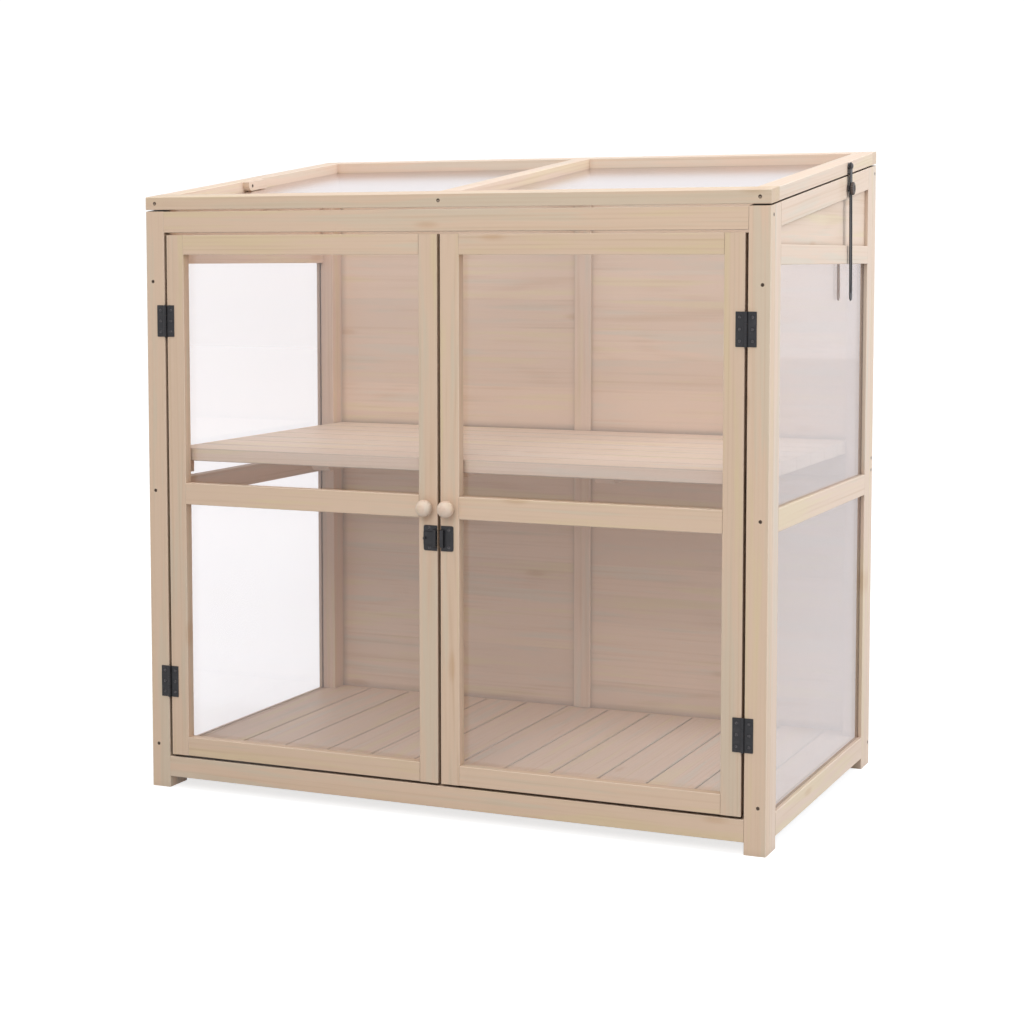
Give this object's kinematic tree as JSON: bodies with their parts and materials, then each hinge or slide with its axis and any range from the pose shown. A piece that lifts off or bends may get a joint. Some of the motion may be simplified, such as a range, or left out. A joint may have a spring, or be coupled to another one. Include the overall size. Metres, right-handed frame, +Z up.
{
  "type": "wooden mini greenhouse",
  "caption": "Pine cold-frame cabinet with glazed double doors, a sloping glazed lid on a slotted stay, a slatted shelf and a boarded floor.",
  "frame": {"origin": "on the ground, midway across the cabinet's width and midway through the overall depth, which runs from the door knobs to the lid's hinge barrels", "axes": "+X to the right as seen from the doors, +Y from the doors to the back, +Z up"},
  "size_m": [1.0403, 0.6438, 1.0299],
  "materials": {
    "pine": "planed, clear matt",
    "clear_sheet": "clear glazing sheet",
    "black_steel": "black powder coat",
    "hinge_pin": "satin",
    "dark_screw": "dark phosphate",
    "knob_plastic": "satin"
  },
  "bodies": {
    "cabinet": {"back_panels": "pine", "door_frame_leaves": "black_steel", "door_hinge_pins": "hinge_pin", "floor_bearers": "pine", "floor_boards": "pine", "frame_screws": "dark_screw", "front_bottom_rail": "pine", "front_left_post": "pine", "front_right_post": "pine", "front_top_rail": "pine", "left_gable_panel": "pine", "left_side_panes": "clear_sheet", "left_side_rails": "pine", "left_side_stiles": "pine", "left_slope_rail": "pine", "lid_frame_leaves": "black_steel", "lid_hinge_pins": "hinge_pin", "lid_stay_bolt": "dark_screw", "lid_stay_knob": "knob_plastic", "rear_bottom_rail": "pine", "rear_centre_stiles": "pine", "rear_left_post": "pine", "rear_middle_rail": "pine", "rear_right_post": "pine", "rear_top_rail": "pine", "right_gable_panel": "pine", "right_side_panes": "clear_sheet", "right_side_rails": "pine", "right_side_stiles": "pine", "right_slope_rail": "pine", "shelf_battens": "pine", "shelf_cleats": "pine", "shelf_slats": "pine"},
    "left_door": {"latch_base": "black_steel", "left_door_hinge_stile": "pine", "left_door_knob": "pine", "left_door_leaves": "black_steel", "left_door_meeting_stile": "pine", "left_door_panes": "clear_sheet", "left_door_rails": "pine", "left_door_screws": "dark_screw"},
    "right_door": {"latch_keeper": "black_steel", "right_door_hinge_stile": "pine", "right_door_knob": "pine", "right_door_leaves": "black_steel", "right_door_meeting_stile": "pine", "right_door_panes": "clear_sheet", "right_door_rails": "pine", "right_door_screws": "dark_screw"},
    "lid": {"lid_block": "pine", "lid_centre_rail": "pine", "lid_front_rail": "pine", "lid_leaves": "black_steel", "lid_panes": "clear_sheet", "lid_rear_rail": "pine", "lid_screws": "dark_screw", "lid_side_rails": "pine", "lid_stay_pivot": "dark_screw"},
    "lid_stay": {"lid_stay_bar": "black_steel"},
    "latch_slide": {"latch_bolt": "black_steel"}
  },
  "joints": [
    {"name": "right_door_swing", "type": "hinge", "parent": "cabinet", "child": "right_door", "pos_m": [0.47975, -0.2964, 0.472], "axis": [0, 0, 1], "range_deg": [0, 165]},
    {"name": "left_door_swing", "type": "hinge", "parent": "cabinet", "child": "left_door", "pos_m": [-0.47975, -0.2964, 0.472], "axis": [0, 0, -1], "range_deg": [0, 165]},
    {"name": "lid_tilt", "type": "hinge", "parent": "cabinet", "child": "lid", "pos_m": [0, 0.3195, 1.00858], "axis": [-1, 0, 0], "range_deg": [0, 52]},
    {"name": "lid_stay_swing", "type": "hinge", "parent": "lid", "child": "lid_stay", "pos_m": [0.519, 0.1323, 0.9985], "axis": [1, 0, 0], "range_deg": [0, 31.2]},
    {"name": "latch_bolt_slide", "type": "slide", "parent": "left_door", "child": "latch_slide", "axis": [1, 0, 0], "range_m": [0, 0.011]}
  ],
  "couplings": [
    {"joint": "lid_stay_swing", "follows": "lid_tilt", "ratio": 0.6}
  ]
}
